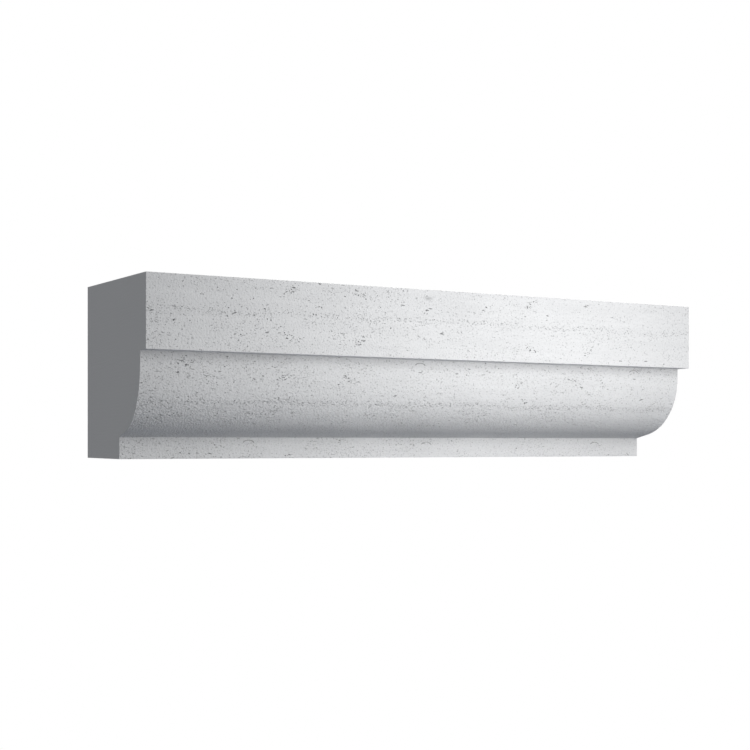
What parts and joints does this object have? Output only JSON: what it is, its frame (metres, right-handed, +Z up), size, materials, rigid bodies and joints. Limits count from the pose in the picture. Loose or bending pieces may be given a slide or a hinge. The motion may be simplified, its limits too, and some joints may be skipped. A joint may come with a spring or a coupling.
{
  "type": "cornice moulding",
  "caption": "Straight length of pale pitted stone cornice with a tall plain fascia, a rounded ovolo tucked under it, a plain foot and a sloping weathered top, the ends sawn square.",
  "frame": {"origin": "on the plane of the underside, below the middle of the block's bounding box", "axes": "+X along the length to the right as seen from the front, +Y towards the wall behind, +Z up; the moulded front faces -Y"},
  "size_m": [1, 0.35, 0.288],
  "materials": {
    "stone": "matt rubbed face with small open pits along the bed, ends and back sawn smooth"
  },
  "bodies": {
    "root": {"cornice_moulding": "stone"}
  },
  "joints": []
}
